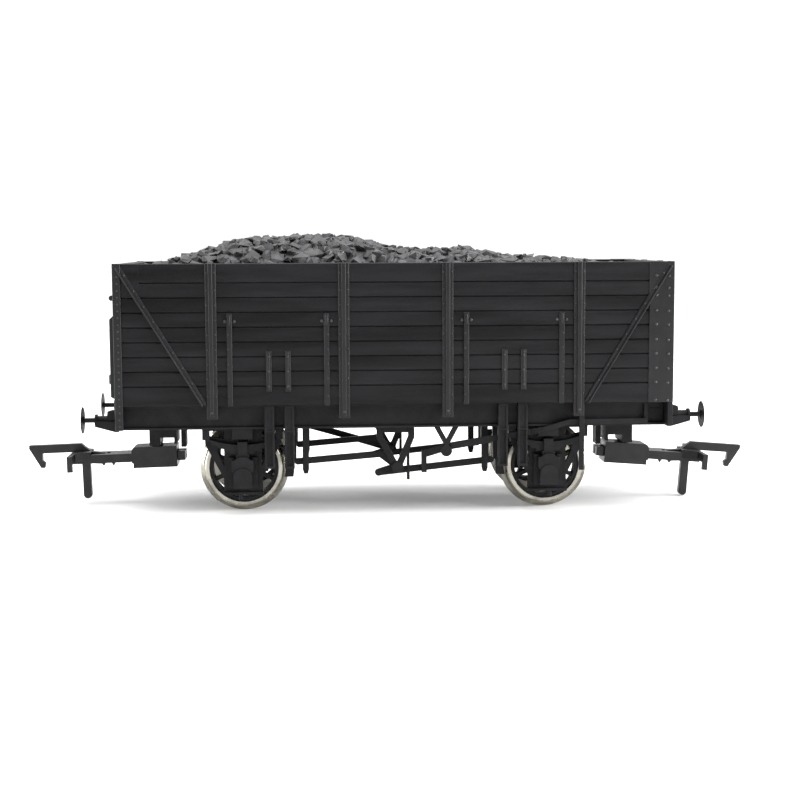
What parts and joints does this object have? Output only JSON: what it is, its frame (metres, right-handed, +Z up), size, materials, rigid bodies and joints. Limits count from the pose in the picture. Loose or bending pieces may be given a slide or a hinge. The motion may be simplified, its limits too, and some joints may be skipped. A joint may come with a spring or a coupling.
{
  "type": "open coal wagon model",
  "caption": "Small-scale model of a planked open coal wagon: box body with a lift-out coal load, spoked wheels, brake gear, buffers and hook couplings.",
  "frame": {"origin": "middle of the wagon, at the bottom of the wheel flanges", "axes": "+X along the wagon towards the fixed end, -X the end-door end, -Y the side seen in the picture, +Z up"},
  "size_m": [0.1178, 0.034, 0.044],
  "materials": {
    "body_black": "satin",
    "chassis_black": "satin",
    "wheel_black": "satin",
    "coupling_black": "satin",
    "tyre_nickel": "turned",
    "axle_steel": "turned",
    "bearing_brass": "turned",
    "ballast_steel": "sheared plate",
    "coal": "glossy facets"
  },
  "bodies": {
    "wagon": {"axle_guard_left_back": "chassis_black", "axle_guard_left_front": "chassis_black", "axle_guard_right_back": "chassis_black", "axle_guard_right_front": "chassis_black", "ballast_plate": "ballast_steel", "bearing_cup_left_back": "bearing_brass", "bearing_cup_left_front": "bearing_brass", "bearing_cup_right_back": "bearing_brass", "bearing_cup_right_front": "bearing_brass", "body_shell": "body_black", "brake_lever_back": "chassis_black", "brake_lever_front": "chassis_black", "brake_shoe_left_back": "chassis_black", "brake_shoe_left_front": "chassis_black", "brake_shoe_right_back": "chassis_black", "brake_shoe_right_front": "chassis_black", "buffer_housing_left_back": "chassis_black", "buffer_housing_left_front": "chassis_black", "buffer_housing_right_back": "chassis_black", "buffer_housing_right_front": "chassis_black", "buffer_left_back": "chassis_black", "buffer_left_front": "chassis_black", "buffer_right_back": "chassis_black", "buffer_right_front": "chassis_black", "chassis_deck": "chassis_black", "coupling_mount_left": "chassis_black", "coupling_mount_right": "chassis_black", "door_stops_back": "chassis_black", "door_stops_front": "chassis_black", "headstock_left": "chassis_black", "headstock_right": "chassis_black", "lever_bracket_front": "chassis_black", "lever_guard_back": "chassis_black", "lever_guard_front": "chassis_black", "push_rods_back": "chassis_black", "push_rods_front": "chassis_black", "safety_loops_back": "chassis_black", "safety_loops_front": "chassis_black", "solebar_back": "chassis_black", "solebar_front": "chassis_black", "v_hanger_back": "chassis_black", "v_hanger_front": "chassis_black"},
    "wheelset_left": {"axle_left": "axle_steel", "tyre_left_back": "tyre_nickel", "tyre_left_front": "tyre_nickel", "wheel_centre_left_back": "wheel_black", "wheel_centre_left_front": "wheel_black"},
    "wheelset_right": {"axle_right": "axle_steel", "tyre_right_back": "tyre_nickel", "tyre_right_front": "tyre_nickel", "wheel_centre_right_back": "wheel_black", "wheel_centre_right_front": "wheel_black"},
    "coal_load": {"coal_load": "coal"},
    "coupling_left": {"coupling_bar_left": "coupling_black", "coupling_pocket_left": "coupling_black"},
    "coupling_right": {"coupling_bar_right": "coupling_black", "coupling_pocket_right": "coupling_black"},
    "hook_left": {"coupling_hook_left": "coupling_black"},
    "hook_right": {"coupling_hook_right": "coupling_black"}
  },
  "joints": [
    {"name": "wheelset_left_spin", "type": "hinge", "parent": "wagon", "child": "wheelset_left", "pos_m": [-0.024, 0, 0.0071], "axis": [0, 1, 0], "continuous": true},
    {"name": "coupling_left_swing", "type": "hinge", "parent": "wagon", "child": "coupling_left", "pos_m": [-0.0385, 0, 0.00982], "axis": [0, 0, 1], "range_deg": [-8, 8]},
    {"name": "hook_left_lift", "type": "hinge", "parent": "coupling_left", "child": "hook_left", "pos_m": [-0.04745, 0, 0.00755], "axis": [0, 1, 0], "range_deg": [0, 20]},
    {"name": "wheelset_right_spin", "type": "hinge", "parent": "wagon", "child": "wheelset_right", "pos_m": [0.024, 0, 0.0071], "axis": [0, 1, 0], "continuous": true},
    {"name": "coupling_right_swing", "type": "hinge", "parent": "wagon", "child": "coupling_right", "pos_m": [0.0385, 0, 0.00982], "axis": [0, 0, 1], "range_deg": [-8, 8]},
    {"name": "hook_right_lift", "type": "hinge", "parent": "coupling_right", "child": "hook_right", "pos_m": [0.04639, 0, 0.0069], "axis": [0, -1, 0], "range_deg": [0, 20]},
    {"name": "coal_load_lift", "type": "slide", "parent": "wagon", "child": "coal_load", "axis": [0, 0, 1], "range_m": [0, 0.03]}
  ]
}
